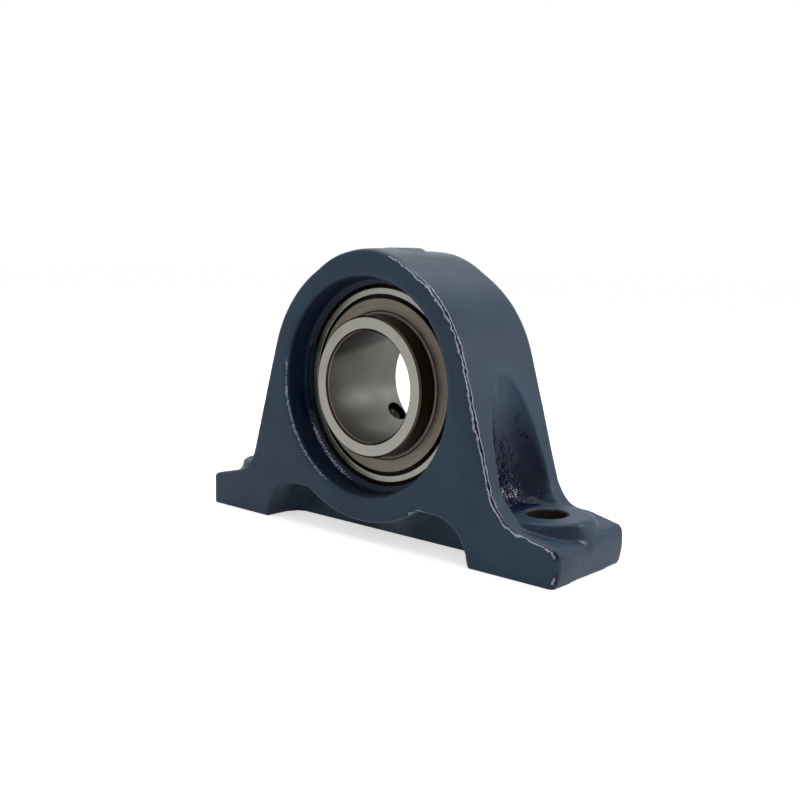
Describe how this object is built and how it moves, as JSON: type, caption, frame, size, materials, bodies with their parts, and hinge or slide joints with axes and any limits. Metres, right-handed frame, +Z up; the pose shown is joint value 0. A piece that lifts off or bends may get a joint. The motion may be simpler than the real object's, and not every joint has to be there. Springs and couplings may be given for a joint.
{
  "type": "pillow block bearing",
  "caption": "Self-aligning ball bearing unit: a bearing insert with set-screw locking in a painted cast pillow block housing with two bolt feet.",
  "frame": {"origin": "on the base plane, midway between the feet and midway through the housing", "axes": "+X along the base, +Y along the shaft from the loading side to the set-screw side, +Z up from the base to the shaft"},
  "size_m": [0.1896, 0.048, 0.1177],
  "materials": {
    "casting_paint": "satin",
    "ring_steel": "ground",
    "ball_steel": "polished",
    "cage_steel": "pressed",
    "seal_rubber": "matte",
    "plate_steel": "pressed",
    "flinger_steel": "pressed and plated",
    "screw_steel": "blackened"
  },
  "bodies": {
    "housing": {"housing": "casting_paint"},
    "outer_ring": {"outer_ring": "ring_steel", "seal_front": "seal_rubber", "seal_back": "seal_rubber", "seal_plate_front": "plate_steel", "seal_plate_back": "plate_steel"},
    "inner_ring": {"inner_ring": "ring_steel", "flinger_front": "flinger_steel", "flinger_back": "flinger_steel"},
    "cage": {"cage_front": "cage_steel", "cage_back": "cage_steel", "cage_rivets": "cage_steel"},
    "ball_01": {"ball_01": "ball_steel"},
    "ball_02": {"ball_02": "ball_steel"},
    "ball_03": {"ball_03": "ball_steel"},
    "ball_04": {"ball_04": "ball_steel"},
    "ball_05": {"ball_05": "ball_steel"},
    "ball_06": {"ball_06": "ball_steel"},
    "ball_07": {"ball_07": "ball_steel"},
    "ball_08": {"ball_08": "ball_steel"},
    "ball_09": {"ball_09": "ball_steel"},
    "ball_10": {"ball_10": "ball_steel"},
    "set_screw_a": {"set_screw_a": "screw_steel"},
    "set_screw_b": {"set_screw_b": "screw_steel"}
  },
  "joints": [
    {"name": "insert_swivel", "type": "hinge", "parent": "housing", "child": "outer_ring", "pos_m": [0, 0, 0.062], "axis": [1, 0, 0], "range_deg": [-90, 90]},
    {"name": "shaft_spin", "type": "hinge", "parent": "outer_ring", "child": "inner_ring", "pos_m": [0, 0, 0.062], "axis": [0, 1, 0], "continuous": true},
    {"name": "cage_spin", "type": "hinge", "parent": "outer_ring", "child": "cage", "pos_m": [0, 0, 0.062], "axis": [0, 1, 0], "continuous": true},
    {"name": "ball_01_spin", "type": "hinge", "parent": "cage", "child": "ball_01", "pos_m": [0.03275, 0, 0.062], "axis": [0, 1, 0], "continuous": true},
    {"name": "ball_02_spin", "type": "hinge", "parent": "cage", "child": "ball_02", "pos_m": [0.0265, 0, 0.08125], "axis": [0, 1, 0], "continuous": true},
    {"name": "ball_03_spin", "type": "hinge", "parent": "cage", "child": "ball_03", "pos_m": [0.01012, 0, 0.09315], "axis": [0, 1, 0], "continuous": true},
    {"name": "ball_04_spin", "type": "hinge", "parent": "cage", "child": "ball_04", "pos_m": [-0.01012, 0, 0.09315], "axis": [0, 1, 0], "continuous": true},
    {"name": "ball_05_spin", "type": "hinge", "parent": "cage", "child": "ball_05", "pos_m": [-0.0265, 0, 0.08125], "axis": [0, 1, 0], "continuous": true},
    {"name": "ball_06_spin", "type": "hinge", "parent": "cage", "child": "ball_06", "pos_m": [-0.03275, 0, 0.062], "axis": [0, 1, 0], "continuous": true},
    {"name": "ball_07_spin", "type": "hinge", "parent": "cage", "child": "ball_07", "pos_m": [-0.0265, 0, 0.04275], "axis": [0, 1, 0], "continuous": true},
    {"name": "ball_08_spin", "type": "hinge", "parent": "cage", "child": "ball_08", "pos_m": [-0.01012, 0, 0.03085], "axis": [0, 1, 0], "continuous": true},
    {"name": "ball_09_spin", "type": "hinge", "parent": "cage", "child": "ball_09", "pos_m": [0.01012, 0, 0.03085], "axis": [0, 1, 0], "continuous": true},
    {"name": "ball_10_spin", "type": "hinge", "parent": "cage", "child": "ball_10", "pos_m": [0.0265, 0, 0.04275], "axis": [0, 1, 0], "continuous": true},
    {"name": "set_screw_a_travel", "type": "slide", "parent": "inner_ring", "child": "set_screw_a", "axis": [-0.7431, 0, -0.6691], "range_m": [-0.002, 0.003]},
    {"name": "set_screw_b_travel", "type": "slide", "parent": "inner_ring", "child": "set_screw_b", "axis": [0.9511, 0, -0.309], "range_m": [-0.002, 0.003]}
  ],
  "couplings": [
    {"joint": "cage_spin", "follows": "shaft_spin", "ratio": 0.40305},
    {"joint": "ball_01_spin", "follows": "shaft_spin", "ratio": -2.4818},
    {"joint": "ball_02_spin", "follows": "shaft_spin", "ratio": -2.4818},
    {"joint": "ball_03_spin", "follows": "shaft_spin", "ratio": -2.4818},
    {"joint": "ball_04_spin", "follows": "shaft_spin", "ratio": -2.4818},
    {"joint": "ball_05_spin", "follows": "shaft_spin", "ratio": -2.4818},
    {"joint": "ball_06_spin", "follows": "shaft_spin", "ratio": -2.4818},
    {"joint": "ball_07_spin", "follows": "shaft_spin", "ratio": -2.4818},
    {"joint": "ball_08_spin", "follows": "shaft_spin", "ratio": -2.4818},
    {"joint": "ball_09_spin", "follows": "shaft_spin", "ratio": -2.4818},
    {"joint": "ball_10_spin", "follows": "shaft_spin", "ratio": -2.4818}
  ]
}
